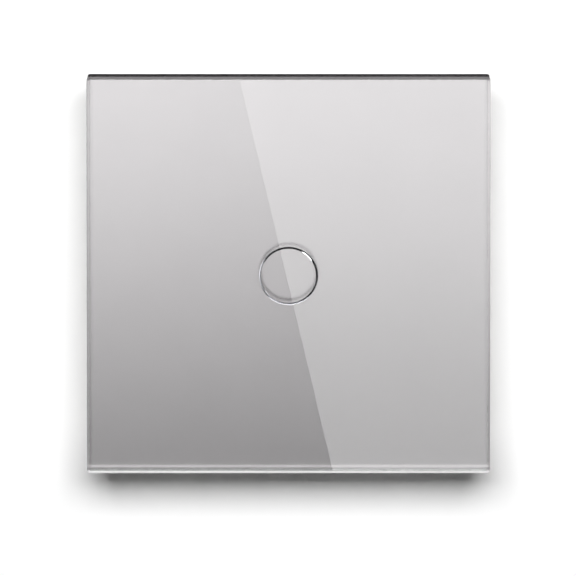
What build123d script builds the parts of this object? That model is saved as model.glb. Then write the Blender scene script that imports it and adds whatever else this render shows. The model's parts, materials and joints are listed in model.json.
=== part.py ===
from build123d import *
import os
from math import radians, sqrt, tan

os.makedirs("parts", exist_ok=True)

# A glass touch light switch for a round wall box, as an assembly of its separate pieces, in millimetres.
# X runs to the right seen from the room, Z runs up, and Y runs into the wall.
# The origin is the centre of the wall face, the plane that the mounting plate lies on.
# A height is measured from the wall face towards the room, and is negative inside the wall box.

# Fits that every piece shares
cut_overrun = 1.0
slip = 0.15
running = 0.05

# Mounting plate, sized by the two screws of a standard wall box
box_screw_spacing = 60.0
slot_length = 7.0
slot_width = 4.0
slot_outer_land = 2.0
slot_inner_land = 1.7
plate_thickness = 1.0
plate_corner_radius = 3.0
plate_size = box_screw_spacing + slot_length + 2 * slot_outer_land
plate_bore_radius = box_screw_spacing / 2 - slot_length / 2 - slot_inner_land

# Cup that holds the power electronics inside the wall box
cup_clearance = 0.3
cup_wall = 1.6
cup_floor = 1.6
cup_depth = 27.0
cup_lip_width = 1.1
cup_lip_thickness = 1.2
cup_back_chamfer = 1.0
cup_radius = plate_bore_radius - cup_clearance
cup_bore_radius = cup_radius - cup_wall
cup_lip_radius = cup_radius + cup_lip_width
cup_rib_width = 2.4
cup_rib_reach = 2.3
cup_rib_angles = (45, 90, 135, 225, 315)
vent_width = 1.4
vent_length = 13.0
vent_pitch = 3.4
vent_count = 5
vent_height = 7.5

# Heights of the stack, from the wall face to the front of the glass
base_floor = 2.0
board_standoff = 0.4
touch_board_thickness = 1.0
cover_headroom = 1.0
cover_plate = 1.0
panel_gap = 0.5
print_thickness = 0.1
glass_thickness = 4.0
tape_thickness = 0.3
web_thickness = 1.2
rim_clearance = 0.4
plate_front = plate_thickness
floor_front = plate_front + base_floor
board_back = floor_front + board_standoff
board_front = board_back + touch_board_thickness
cover_inner = board_front + cover_headroom
cover_front = cover_inner + cover_plate
print_back = cover_front + panel_gap
glass_back = print_back + print_thickness
glass_front = glass_back + glass_thickness
web_front = print_back - tape_thickness
web_back = web_front - web_thickness
rim_front = web_back - rim_clearance

# Base frame, the moulding that the touch board and the glass panel both fix to
base_size = plate_size
rim_wall = 1.5
spigot_wall = 1.4
window_width = 12.0
window_land = 0.55
window_rim_gap = 0.4
frame_rib_width = 1.0
frame_rib_height = 1.2
frame_rib_offset = 17.0
board_pad_size = 4.0
lip_recess_radius = cup_lip_radius + slip
spigot_radius = cup_bore_radius - slip
spigot_bore_radius = spigot_radius - spigot_wall

# Snap joint between the panel carrier and the base frame
snap_offset = 20.0
snap_width = 8.0
snap_gap = 0.5
snap_side_gap = 1.0
snap_lip_height = 1.0
snap_pocket_height = 1.6
snap_pocket_depth = 0.9
finger_thickness = 0.9
finger_skirt_gap = 0.3
nub_height = 0.9
nub_ramp = 0.4

# Glass panel and the carrier bonded behind it
carrier_inset = 1.5
carrier_wall = 1.3
carrier_corner_radius = 1.6
carrier_web_width = 7.0
skirt_wall_gap = 0.4
locating_rib_width = 1.2
locating_rib_offset = 29.0
pry_notch_width = 9.0
pry_notch_height = 2.0
panel_corner_radius = 0.8
front_bevel = 0.5
back_bevel = 0.3
print_margin = 0.45
tape_margin = 0.8
touch_ring_diameter = 11.3
touch_groove_width = 0.5
touch_groove_depth = 0.2
finger_inner = base_size / 2 + snap_gap
finger_outer = finger_inner + finger_thickness
carrier_inner = finger_outer + finger_skirt_gap
carrier_size = 2 * (carrier_inner + carrier_wall)
panel_size = carrier_size + 2 * carrier_inset
carrier_window = carrier_size - 2 * carrier_web_width

# Plate screws, which hold the base frame and the plate together on the cup's lip
plate_screw_radius = 1.0
plate_screw_head_radius = 1.9
plate_screw_head_height = 0.9

# Touch board and its cover
cover_screw_land = 3.95
cover_wall = 1.0
cover_screw_inset = 4.0
cover_boss_size = 5.0
cover_screw_radius = 0.8
cover_screw_head_radius = 1.6
cover_screw_head_height = 1.0
cover_counterbore = 1.4
cover_screw_grip = 1.6
touch_board_gap = 0.7
cover_screw_place = (lip_recess_radius + cover_screw_land) / sqrt(2)
cover_size = 2 * (cover_screw_place + cover_screw_inset)
touch_board_size = cover_size - 2 * (cover_wall + touch_board_gap)
cover_screw_places = ((-cover_screw_place, cover_screw_place), (cover_screw_place, -cover_screw_place))
cover_boss_notch = cover_boss_size / 2 + slip
plate_screw_place = (cover_size / 2 + base_size / 2 - rim_wall) / 2
plate_screw_places = ((plate_screw_place, plate_screw_place), (-plate_screw_place, -plate_screw_place))
board_pad_place = cover_screw_place - cover_boss_notch - slip - board_pad_size / 2

# Light ring, sensing spring and small components of the touch board
guide_wall = 1.5
guide_base_gap = 0.5
guide_radius = touch_ring_diameter / 2 + guide_wall / 2
guide_bore_radius = guide_radius - guide_wall
spring_wire = 0.35
spring_wire_sides = 4
spring_radius = 3.6
spring_pitch = 1.0
spring_glass_gap = 0.3
led_length = 1.6
led_width = 0.8
led_height = 0.4
led_count = 4
touch_chip_size = 3.9
touch_chip_width = 3.0
touch_chip_height = 1.2
touch_chip_legs = 4
touch_chip_leg_pitch = 1.0
touch_chip_leg_width = 0.4
touch_chip_leg_reach = 0.9
touch_chip_leg_height = 0.3
touch_chip_place = (9.0, -6.0)
passive_length = 1.6
passive_width = 0.8
passive_height = 0.45
resistor_rows = 3
passive_pitch = 2.6
resistor_place = (-9.0, -6.5)
capacitor_place = (-9.0, 6.5)

# Board connector between the touch board and the power board
header_pins = 5
header_pitch = 2.54
header_width = 2.5
header_height = 2.0
header_pin = 0.64
header_row = 11.5
header_solder = 0.3
socket_gap = 0.5
socket_hole = header_pin + 2 * running

# Power board
power_board_depth = 4.5
power_board_thickness = 1.6
power_board_front = -power_board_depth
power_board_back = power_board_front - power_board_thickness
power_board_radius = cup_bore_radius - 2 * slip
bar_tail_length = 0.6

# Terminal block with its screws, rising cages and contact bars
terminal_count = 3
block_divider = 1.0
block_side_wall = 0.6
block_face_wall = 0.9
block_screw_wall = 1.0
block_entry_wall = 0.7
block_top_wall = 2.4
block_edge = 0.5
terminal_head_radius = 2.3
terminal_head_height = 1.6
terminal_head_recess = 0.8
terminal_well_gap = 0.3
terminal_screw_radius = 1.5
driver_slot_width = 0.7
driver_slot_depth = 0.8
screw_tip_gap = 0.1
bar_thickness = 1.0
bar_end_gap = 0.6
bar_block_gap = 0.1
bar_tail_width = 1.8
cage_wall = 0.9
cage_width = 5.6
cage_length = 5.0
cage_bar_gap = 0.3
cage_wire_room = 3.4
cage_side_gap = 0.2
cage_end_gap = 0.4
cage_travel = 2.4
cage_inner_width = cage_width - 2 * cage_wall
bar_width = cage_inner_width - 2 * cage_side_gap
wire_entry_width = cage_inner_width - cage_side_gap
chamber_width = cage_width + 2 * cage_side_gap
chamber_height = cage_length + 2 * cage_side_gap
terminal_pitch = chamber_width + block_divider
block_width = terminal_count * terminal_pitch + 2 * block_side_wall
block_height = block_entry_wall + chamber_height + block_top_wall
block_bottom = -(sqrt(cup_radius**2 - (block_width / 2) ** 2) - block_edge)
block_top = block_bottom + block_height
block_back = -cup_depth
head_back = block_back + terminal_head_recess
head_front = head_back + terminal_head_height
screw_wall_back = head_front + running
screw_wall_front = screw_wall_back + block_screw_wall
cage_top_back = screw_wall_front + cage_end_gap + cage_travel
bar_back = cage_top_back + cage_wall + cage_bar_gap
bar_front = bar_back + bar_thickness
screw_tip = bar_back - screw_tip_gap
cage_foot_front = bar_front + cage_wire_room + cage_wall
chamber_front = cage_foot_front + cage_side_gap
cage_bottom = block_bottom + block_entry_wall + cage_side_gap
bar_bottom = cage_bottom + bar_end_gap
bar_leg_bottom = block_top + bar_block_gap
bar_leg_top = bar_leg_bottom + bar_thickness

# Relay on the power board: a changeover contact moved by a hinged armature
relay_middle = 1.5
relay_contact_room = 6.5
relay_wall = 0.6
relay_board_gap = 0.2
relay_base_thickness = 1.2
yoke_thickness = 0.9
yoke_width = 6.5
coil_clearance = 0.3
bobbin_flange = 0.7
bobbin_flange_land = 0.2
bobbin_tube_wall = 0.5
winding_radius = 3.8
core_radius = 1.6
pole_radius = 2.4
pole_thickness = 0.8
coil_height = 6.8
armature_thickness = 0.8
armature_width = 6.0
armature_travel = 4.0
blade_thickness = 0.2
blade_width = 3.0
rivet_radius = 0.8
rivet_height = 0.3
contact_strip = 0.3
contact_width = 2.0
contact_play = 0.06
spring_leaf_thickness = 0.2
spring_leaf_width = 4.0

# Other components on the power board
film_cap_width = 4.0
film_cap_length = 10.0
film_cap_height = 11.0
electrolytic_radius = 3.15
electrolytic_height = 11.0
electrolytic_groove = 0.25
electrolytic_groove_lift = 1.25
varistor_radius = 3.0
varistor_thickness = 3.0
choke_radius = 3.5
choke_waist_radius = 2.4
choke_height = 7.0
choke_flange = 0.9
fuse_radius = 1.5
fuse_length = 7.0
rectifier_length = 4.7
rectifier_width = 3.9
rectifier_height = 1.4
component_gap = 0.8
component_lift = 0.3
film_cap_lead_inset = 1.6
lead_width = 0.6


def at_height(height):
    """Sketch plane parallel to the wall face, looking at it from the room: local x is X and local y is Z."""
    return Plane.XZ.offset(height)


def behind_board(lift):
    """Sketch plane at a lift above the power board's component side, which faces into the wall box."""
    return at_height(power_board_back - lift)


def save(piece, name):
    """Labels a finished piece and writes it as its own STEP file."""
    piece.part.label = name
    export_step(piece.part, f"parts/{name}.step")


# Glass panel: a square plate with bevelled edges and a shallow ring ground round the touch spot
with BuildPart() as glass_panel:
    with BuildSketch(at_height(glass_back)):
        RectangleRounded(panel_size, panel_size, panel_corner_radius)
    extrude(amount=glass_thickness)
    chamfer(glass_panel.faces().sort_by(Axis.Y)[0].edges(), front_bevel)
    chamfer(glass_panel.faces().sort_by(Axis.Y)[-1].edges(), back_bevel)
    with BuildSketch(Plane.XY):
        with BuildLine():
            Polyline(
                ((touch_ring_diameter - touch_groove_width) / 2, -glass_front),
                (touch_ring_diameter / 2, touch_groove_depth - glass_front),
                ((touch_ring_diameter + touch_groove_width) / 2, -glass_front),
                close=True,
            )
        make_face()
    revolve(axis=Axis.Y, mode=Mode.SUBTRACT)
save(glass_panel, "glass_panel")

# Silver print fused to the back of the glass
print_size = panel_size - 2 * print_margin
with BuildPart() as back_print:
    with BuildSketch(at_height(print_back)):
        RectangleRounded(print_size, print_size, panel_corner_radius)
    extrude(amount=print_thickness)
save(back_print, "back_print")

# Frame of double-sided tape between the print and the carrier
tape_outer = carrier_size - 2 * tape_margin
tape_inner = carrier_window + 2 * tape_margin
with BuildPart() as bonding_tape:
    with BuildSketch(at_height(web_front)):
        Rectangle(tape_outer, tape_outer)
        Rectangle(tape_inner, tape_inner, mode=Mode.SUBTRACT)
    extrude(amount=tape_thickness)
save(bonding_tape, "bonding_tape")

# Panel carrier: a frame with a deep skirt, four snap fingers, locating ribs and a notch to pry it off
snap_pocket_front = rim_front - snap_lip_height
nub_front = snap_pocket_front - running
nub_back = nub_front - nub_height
crest = base_size / 2 + running
with BuildPart() as panel_carrier:
    with BuildSketch(at_height(web_back)):
        RectangleRounded(carrier_size, carrier_size, carrier_corner_radius)
        Rectangle(carrier_window, carrier_window, mode=Mode.SUBTRACT)
    extrude(amount=web_thickness)
    with BuildSketch(at_height(skirt_wall_gap)):
        RectangleRounded(carrier_size, carrier_size, carrier_corner_radius)
        Rectangle(2 * carrier_inner, 2 * carrier_inner, mode=Mode.SUBTRACT)
    extrude(amount=web_back - skirt_wall_gap)
    with BuildSketch(at_height(skirt_wall_gap)):
        with Locations((0, -carrier_inner)):
            Rectangle(pry_notch_width, 2 * carrier_wall + cut_overrun, align=(Align.CENTER, Align.MAX))
    extrude(amount=pry_notch_height, mode=Mode.SUBTRACT)
    with BuildSketch(at_height(plate_front)):
        with PolarLocations(carrier_inner, 4):
            with Locations((0, locating_rib_offset), (0, -locating_rib_offset)):
                Rectangle(
                    carrier_inner - base_size / 2 - slip, locating_rib_width, align=(Align.MAX, Align.CENTER)
                )
    extrude(amount=web_back - plate_front)
    for side in (-1, 1):
        for edge in (-1, 1):
            with BuildSketch(Plane.YZ.offset(side * snap_offset)):
                with BuildLine():
                    Polyline(
                        (-web_back, edge * finger_inner),
                        (-nub_front, edge * finger_inner),
                        (-nub_front, edge * crest),
                        (-nub_back - nub_ramp, edge * crest),
                        (-nub_back + nub_ramp, edge * finger_inner),
                        (-nub_back + nub_ramp, edge * finger_outer),
                        (-web_back, edge * finger_outer),
                        close=True,
                    )
                make_face()
            extrude(amount=snap_width / 2, both=True)
save(panel_carrier, "panel_carrier")

# Steel mounting plate with its bore for the cup, four slots for wall box screws and two tapped holes
with BuildPart() as mounting_plate:
    with BuildSketch(at_height(0)):
        RectangleRounded(plate_size, plate_size, plate_corner_radius)
        Circle(plate_bore_radius, mode=Mode.SUBTRACT)
        with PolarLocations(box_screw_spacing / 2, 4):
            SlotOverall(slot_length, slot_width, mode=Mode.SUBTRACT)
        with Locations(*plate_screw_places):
            Circle(plate_screw_radius + running, mode=Mode.SUBTRACT)
    extrude(amount=plate_thickness)
save(mounting_plate, "mounting_plate")

# Base frame: a shallow tray with a spigot that reaches into the cup and holds the power board down
window_inner = lip_recess_radius + window_land
window_outer = base_size / 2 - rim_wall - window_rim_gap
with BuildPart() as base_frame:
    with BuildSketch(at_height(plate_front)):
        RectangleRounded(base_size, base_size, plate_corner_radius)
    extrude(amount=rim_front - plate_front)
    with BuildSketch(at_height(floor_front)):
        Rectangle(base_size - 2 * rim_wall, base_size - 2 * rim_wall)
    extrude(amount=rim_front - floor_front + cut_overrun, mode=Mode.SUBTRACT)
    with BuildSketch(at_height(plate_front)):
        Circle(lip_recess_radius)
    extrude(amount=cup_lip_thickness, mode=Mode.SUBTRACT)
    with BuildSketch(at_height(power_board_front)):
        Circle(spigot_radius)
    extrude(amount=floor_front - power_board_front)
    with BuildSketch(at_height(power_board_front)):
        Circle(spigot_bore_radius)
    extrude(amount=floor_front - power_board_front + cut_overrun, mode=Mode.SUBTRACT)
    with BuildSketch(at_height(floor_front)):
        with GridLocations(2 * board_pad_place, touch_board_size - board_pad_size, 2, 2):
            Rectangle(board_pad_size, board_pad_size)
    extrude(amount=board_standoff)
    with BuildSketch(at_height(floor_front)):
        with PolarLocations(0, 4):
            with Locations(
                (cover_size / 2 + slip, frame_rib_offset),
                (cover_size / 2 + slip, -frame_rib_offset),
            ):
                Rectangle(
                    base_size / 2 - rim_wall - cover_size / 2 - slip,
                    frame_rib_width,
                    align=(Align.MIN, Align.CENTER),
                )
    extrude(amount=frame_rib_height)
    with BuildSketch(at_height(plate_front - cut_overrun)):
        with PolarLocations((window_inner + window_outer) / 2, 4):
            Rectangle(window_outer - window_inner, window_width)
    extrude(amount=base_floor + 2 * cut_overrun, mode=Mode.SUBTRACT)
    with BuildSketch(at_height(snap_pocket_front - snap_pocket_height)):
        with GridLocations(2 * snap_offset, base_size, 2, 2):
            Rectangle(snap_width + 2 * snap_side_gap, 2 * snap_pocket_depth)
    extrude(amount=snap_pocket_height, mode=Mode.SUBTRACT)
    with Locations(at_height(floor_front)):
        with Locations(*plate_screw_places):
            Hole(plate_screw_radius + running, depth=base_floor)
        with Locations(*cover_screw_places):
            Hole(cover_screw_radius + running, depth=cover_screw_grip)
save(base_frame, "base_frame")

# Two screws that clamp the plate and the base frame on the cup's lip
with BuildPart() as plate_screws:
    with BuildSketch(at_height(floor_front)):
        with Locations(*plate_screw_places):
            Circle(plate_screw_head_radius)
    extrude(amount=plate_screw_head_height)
    with BuildSketch(at_height(running)):
        with Locations(*plate_screw_places):
            Circle(plate_screw_radius)
    extrude(amount=floor_front - running)
save(plate_screws, "plate_screws")

# Cup: the round housing in the wall box, open towards the room, with board ribs and vents
with BuildPart() as cup:
    with BuildSketch(at_height(-cup_depth)):
        Circle(cup_radius)
    extrude(amount=cup_depth + plate_front + cup_lip_thickness)
    chamfer(cup.faces().sort_by(Axis.Y)[-1].edges(), cup_back_chamfer)
    with BuildSketch(at_height(plate_front)):
        Circle(cup_lip_radius)
    extrude(amount=cup_lip_thickness)
    with BuildSketch(at_height(-cup_depth + cup_floor)):
        Circle(cup_bore_radius)
    extrude(amount=cup_depth + plate_front + cup_lip_thickness, mode=Mode.SUBTRACT)
    with BuildSketch(at_height(-cup_depth + cup_floor)):
        for angle in cup_rib_angles:
            with PolarLocations(cup_bore_radius - cup_rib_reach, 1, start_angle=angle):
                Rectangle(cup_rib_reach + cup_wall / 2, cup_rib_width, align=(Align.MIN, Align.CENTER))
    extrude(amount=cup_depth - cup_floor + power_board_back)
    with BuildSketch(at_height(-cup_depth - cut_overrun)):
        with Locations((0, block_top + slip)):
            Rectangle(
                block_width + 2 * slip, cup_lip_radius + block_top + slip, align=(Align.CENTER, Align.MAX)
            )
    extrude(amount=cup_depth + power_board_back + cut_overrun, mode=Mode.SUBTRACT)
    with BuildSketch(at_height(-cup_depth - cut_overrun)):
        with Locations((0, vent_height)):
            with GridLocations(vent_pitch, 0, vent_count, 1):
                Rectangle(vent_width, vent_length)
    extrude(amount=cup_floor + 2 * cut_overrun, mode=Mode.SUBTRACT)
save(cup, "cup")

# Cover over the touch board, with a round window for the light ring and a screw boss in two corners
with BuildPart() as touch_cover:
    with BuildSketch(at_height(floor_front)):
        Rectangle(cover_size, cover_size)
    extrude(amount=cover_front - floor_front)
    with BuildSketch(at_height(floor_front)):
        Rectangle(cover_size - 2 * cover_wall, cover_size - 2 * cover_wall)
    extrude(amount=cover_inner - floor_front, mode=Mode.SUBTRACT)
    with BuildSketch(at_height(floor_front)):
        with Locations(*cover_screw_places):
            Rectangle(cover_boss_size, cover_boss_size)
    extrude(amount=cover_inner - floor_front)
    with Locations(at_height(cover_front)):
        Hole(guide_radius + running, depth=cover_plate)
        with Locations(*cover_screw_places):
            CounterBoreHole(
                cover_screw_radius + running,
                cover_screw_head_radius + slip,
                cover_counterbore,
                depth=cover_front - floor_front,
            )
    chamfer(touch_cover.faces().sort_by(Axis.Y)[0].outer_wire().edges(), back_bevel)
save(touch_cover, "touch_cover")

# Two screws that hold the touch cover and its board to the base frame
cover_head_back = cover_front - cover_counterbore
with BuildPart() as cover_screws:
    with BuildSketch(at_height(cover_head_back)):
        with Locations(*cover_screw_places):
            Circle(cover_screw_head_radius)
    extrude(amount=cover_screw_head_height)
    with BuildSketch(at_height(floor_front - cover_screw_grip + slip)):
        with Locations(*cover_screw_places):
            Circle(cover_screw_radius)
    extrude(amount=cover_head_back - floor_front + cover_screw_grip - slip)
save(cover_screws, "cover_screws")

# Ring that carries the light of the four lamps to the print, set in the cover's window
guide_back = board_front + guide_base_gap
with BuildPart() as light_ring:
    with BuildSketch(at_height(guide_back)):
        Circle(guide_radius)
    extrude(amount=cover_front - guide_back)
    with BuildSketch(at_height(guide_back)):
        Circle(guide_bore_radius)
    extrude(amount=cover_front - guide_back, mode=Mode.SUBTRACT)
save(light_ring, "light_ring")

# Touch board, with two corners cut away for the cover's bosses
notch_inner = cover_screw_place - cover_boss_notch
notch_size = touch_board_size - 2 * notch_inner
with BuildPart() as touch_board:
    with BuildSketch(at_height(board_back)):
        Rectangle(touch_board_size, touch_board_size)
        with PolarLocations(0, 2, start_angle=90):
            with Locations((notch_inner, notch_inner)):
                Rectangle(notch_size, notch_size, align=(Align.MIN, Align.MIN), mode=Mode.SUBTRACT)
        with Locations((0, header_row)):
            with GridLocations(header_pitch, 0, header_pins, 1):
                Rectangle(socket_hole, socket_hole, mode=Mode.SUBTRACT)
    extrude(amount=touch_board_thickness)
save(touch_board, "touch_board")

# Sensing spring, an open coil of square wire between the touch board and the print
spring_front = print_back - spring_glass_gap
spring_rise = spring_front - board_front - spring_wire
with BuildPart() as sensing_spring:
    with BuildLine():
        coil = Helix(
            spring_pitch,
            spring_rise,
            spring_radius,
            center=(0, -(board_front + spring_wire / 2), 0),
            direction=(0, -1, 0),
        )
    with BuildSketch(Plane(origin=coil @ 0, z_dir=coil % 0)):
        RegularPolygon(spring_wire / 2, spring_wire_sides)
    sweep(path=coil, is_frenet=True)
print("least gap between turns of the sensing spring", round(spring_pitch - spring_wire, 2))
save(sensing_spring, "sensing_spring")

# Lamps under the light ring: one node, because the four are alike
lamp_circle = guide_radius - guide_wall / 2
with BuildPart() as status_leds:
    with BuildSketch(at_height(board_front)):
        with PolarLocations(lamp_circle, led_count, start_angle=45):
            Rectangle(led_width, led_length)
    extrude(amount=led_height)
save(status_leds, "status_leds")

# Touch controller on the back of the touch board, with its legs as one strip each side
with BuildPart() as touch_chip:
    with BuildSketch(at_height(board_back)):
        with Locations(touch_chip_place):
            Rectangle(touch_chip_size, touch_chip_width)
    extrude(amount=-touch_chip_height)
    with BuildSketch(at_height(board_back)):
        with Locations(touch_chip_place):
            with GridLocations(touch_chip_leg_pitch, 0, touch_chip_legs, 1):
                Rectangle(touch_chip_leg_width, touch_chip_width + 2 * touch_chip_leg_reach)
    extrude(amount=-touch_chip_leg_height)
save(touch_chip, "touch_chip")

# Rows of small resistors and capacitors on the back of the touch board
with BuildPart() as chip_resistors:
    with BuildSketch(at_height(board_back)):
        with Locations(resistor_place):
            with GridLocations(passive_pitch, passive_pitch, resistor_rows, resistor_rows - 1):
                Rectangle(passive_length, passive_width)
    extrude(amount=-passive_height)
save(chip_resistors, "chip_resistors")

with BuildPart() as chip_capacitors:
    with BuildSketch(at_height(board_back)):
        with Locations(capacitor_place):
            with GridLocations(passive_pitch, passive_pitch, 2, 2):
                Rectangle(passive_width, passive_length)
    extrude(amount=-2 * passive_height)
save(chip_capacitors, "chip_capacitors")

# Pin header on the touch board, and the socket on the power board that it plugs into
header_tip = power_board_front + socket_gap
header_back = board_back - header_height
with BuildPart() as pin_header:
    with BuildSketch(at_height(header_back)):
        with Locations((0, header_row)):
            Rectangle(header_pins * header_pitch, header_width)
    extrude(amount=header_height)
    with BuildSketch(at_height(header_tip)):
        with Locations((0, header_row)):
            with GridLocations(header_pitch, 0, header_pins, 1):
                Rectangle(header_pin, header_pin)
    extrude(amount=board_front + header_solder - header_tip)
save(pin_header, "pin_header")

with BuildPart() as pin_socket:
    with BuildSketch(at_height(power_board_front)):
        with Locations((0, header_row)):
            Rectangle(header_pins * header_pitch, header_width)
            with GridLocations(header_pitch, 0, header_pins, 1):
                Rectangle(socket_hole, socket_hole, mode=Mode.SUBTRACT)
    extrude(amount=header_back - socket_gap - power_board_front)
save(pin_socket, "pin_socket")

# Power board, a round board with slots for the tails of the contact bars
bar_xs = [(index - (terminal_count - 1) / 2) * terminal_pitch for index in range(terminal_count)]
bar_leg_middle = (bar_leg_bottom + bar_leg_top) / 2
with BuildPart() as power_board:
    with BuildSketch(at_height(power_board_back)):
        Circle(power_board_radius)
        with Locations(*[(x, bar_leg_middle) for x in bar_xs]):
            Rectangle(bar_tail_width + 2 * slip, bar_thickness + 2 * slip, mode=Mode.SUBTRACT)
    extrude(amount=power_board_thickness)
save(power_board, "power_board")

# Terminal block: three chambers, each with a screw well at the back and a wire entry underneath
screw_row = cage_bottom + cage_length / 2
with BuildPart() as terminal_block:
    with BuildSketch(at_height(block_back)):
        with Locations((0, block_bottom)):
            Rectangle(block_width, block_height, align=(Align.CENTER, Align.MIN))
    extrude(amount=power_board_back - block_back)
    with BuildSketch(at_height(screw_wall_front)):
        with Locations(*[(x, screw_row) for x in bar_xs]):
            Rectangle(chamber_width, chamber_height)
    extrude(amount=chamber_front - screw_wall_front, mode=Mode.SUBTRACT)
    with BuildSketch(at_height(bar_back - running)):
        with Locations(*[(x, screw_row) for x in bar_xs]):
            Rectangle(bar_width + 2 * slip, block_height, align=(Align.CENTER, Align.MIN))
    extrude(amount=bar_thickness + 2 * running, mode=Mode.SUBTRACT)
    with BuildSketch(Plane.XY.offset(block_bottom)):
        with Locations(*[(x, -(bar_front + cage_wire_room / 2)) for x in bar_xs]):
            Rectangle(wire_entry_width, cage_wire_room)
    extrude(amount=block_entry_wall, mode=Mode.SUBTRACT)
    with BuildSketch(at_height(block_back)):
        with Locations(*[(x, screw_row) for x in bar_xs]):
            Circle(terminal_head_radius + terminal_well_gap)
    extrude(amount=screw_wall_back - block_back, mode=Mode.SUBTRACT)
    with BuildSketch(at_height(block_back)):
        with Locations(*[(x, screw_row) for x in bar_xs]):
            Circle(terminal_screw_radius + slip)
    extrude(amount=screw_wall_front - block_back, mode=Mode.SUBTRACT)
    with BuildSketch(at_height(power_board_back)):
        with Locations((0, block_bottom + block_face_wall)):
            Rectangle(
                block_width - 2 * block_face_wall,
                block_height - 2 * block_face_wall,
                align=(Align.CENTER, Align.MIN),
            )
    extrude(amount=-(power_board_back - chamber_front - block_face_wall), mode=Mode.SUBTRACT)
save(terminal_block, "terminal_block")

# One screw, one rising cage and one contact bar for each terminal
for number, x in enumerate(bar_xs, start=1):
    with BuildPart() as terminal_screw:
        with BuildSketch(at_height(head_back)):
            with Locations((x, screw_row)):
                Circle(terminal_head_radius)
        extrude(amount=terminal_head_height)
        with BuildSketch(at_height(head_front)):
            with Locations((x, screw_row)):
                Circle(terminal_screw_radius)
        extrude(amount=screw_tip - head_front)
        with BuildSketch(at_height(head_back)):
            with Locations((x, screw_row)):
                Rectangle(2 * terminal_head_radius + cut_overrun, driver_slot_width)
        extrude(amount=driver_slot_depth, mode=Mode.SUBTRACT)
    save(terminal_screw, f"terminal_screw_{number}")

    with BuildPart() as clamp_cage:
        with BuildSketch(Plane.XY.offset(cage_bottom)):
            with Locations((x, -(cage_top_back + cage_foot_front) / 2)):
                Rectangle(cage_width, cage_foot_front - cage_top_back)
                Rectangle(
                    cage_width - 2 * cage_wall,
                    cage_foot_front - cage_top_back - 2 * cage_wall,
                    mode=Mode.SUBTRACT,
                )
        extrude(amount=cage_length)
        with BuildSketch(at_height(cage_top_back)):
            with Locations((x, screw_row)):
                Circle(terminal_screw_radius + running)
        extrude(amount=cage_wall, mode=Mode.SUBTRACT)
    save(clamp_cage, f"clamp_cage_{number}")

    with BuildPart() as contact_bar:
        with BuildSketch(Plane.YZ.offset(x)):
            with BuildLine():
                Polyline(
                    (-bar_back, bar_bottom),
                    (-bar_front, bar_bottom),
                    (-bar_front, bar_leg_bottom),
                    (-power_board_back, bar_leg_bottom),
                    (-power_board_back, bar_leg_top),
                    (-bar_back, bar_leg_top),
                    close=True,
                )
            make_face()
        extrude(amount=bar_width / 2, both=True)
        with BuildSketch(at_height(power_board_back)):
            with Locations((x, bar_leg_middle)):
                Rectangle(bar_tail_width, bar_thickness)
        extrude(amount=power_board_thickness + bar_tail_length)
    save(contact_bar, f"contact_bar_{number}")

# Relay layout along its length: leaf spring, yoke, coil, and the room for the contacts at the right end
bobbin_flange_size = 2 * (winding_radius + bobbin_flange_land)
relay_inner_length = (
    2 * coil_clearance + spring_leaf_thickness + yoke_thickness + bobbin_flange_size + relay_contact_room
)
relay_length = relay_inner_length + 2 * relay_wall
relay_inner_end = relay_inner_length / 2
relay_inner_width = bobbin_flange_size + 2 * coil_clearance
relay_width = relay_inner_width + 2 * relay_wall
yoke_left = -relay_inner_end + coil_clearance + spring_leaf_thickness
coil_x = yoke_left + yoke_thickness + coil_clearance + bobbin_flange_size / 2
hinge_x = yoke_left + yoke_thickness / 2
strip_right = relay_inner_end - running
work_strip_right = strip_right - 2 * contact_strip
contact_x = work_strip_right - contact_strip - rivet_radius

# Relay layout upwards from the power board: base, yoke, coil, pole, armature and contacts
base_top = relay_board_gap + relay_base_thickness
yoke_floor_top = base_top + yoke_thickness
bobbin_top = yoke_floor_top + coil_height
pole_bottom = bobbin_top + running
pole_top = pole_bottom + pole_thickness
yoke_top = pole_top + (coil_x + pole_radius - hinge_x) * tan(radians(armature_travel))
armature_bottom = yoke_top + running
armature_top = armature_bottom + armature_thickness
blade_top = armature_top + blade_thickness
leaf_lift = armature_top + contact_play
rest_face = blade_top + rivet_height + contact_play
contact_drop = (contact_x + rivet_radius - hinge_x) * tan(radians(armature_travel))
work_face = armature_top - rivet_height - contact_drop - contact_play
relay_roof = rest_face + contact_strip + coil_clearance
relay_height = relay_roof + relay_wall - relay_board_gap

# Relay base with the case over it
with BuildPart() as relay_base:
    with BuildSketch(behind_board(relay_board_gap)):
        with Locations((0, relay_middle)):
            Rectangle(relay_inner_length - 2 * running, relay_inner_width - 2 * running)
    extrude(amount=-relay_base_thickness)
save(relay_base, "relay_base")

with BuildPart() as relay_case:
    with BuildSketch(behind_board(relay_board_gap)):
        with Locations((0, relay_middle)):
            Rectangle(relay_length, relay_width)
    extrude(amount=-relay_height)
    chamfer(relay_case.edges().filter_by(Axis.Y), back_bevel)
    with BuildSketch(behind_board(relay_board_gap)):
        with Locations((0, relay_middle)):
            Rectangle(relay_inner_length, relay_inner_width)
    extrude(amount=-(relay_height - relay_wall), mode=Mode.SUBTRACT)
save(relay_case, "relay_case")

# Yoke, coil former, winding and core of the relay
with BuildPart() as relay_yoke:
    with BuildSketch(behind_board(base_top)):
        with Locations((yoke_left, relay_middle)):
            Rectangle(coil_x + core_radius - yoke_left, yoke_width, align=(Align.MIN, Align.CENTER))
    extrude(amount=-yoke_thickness)
    with BuildSketch(behind_board(base_top)):
        with Locations((yoke_left, relay_middle)):
            Rectangle(yoke_thickness, yoke_width, align=(Align.MIN, Align.CENTER))
    extrude(amount=-(yoke_top - base_top))
save(relay_yoke, "relay_yoke")

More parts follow.
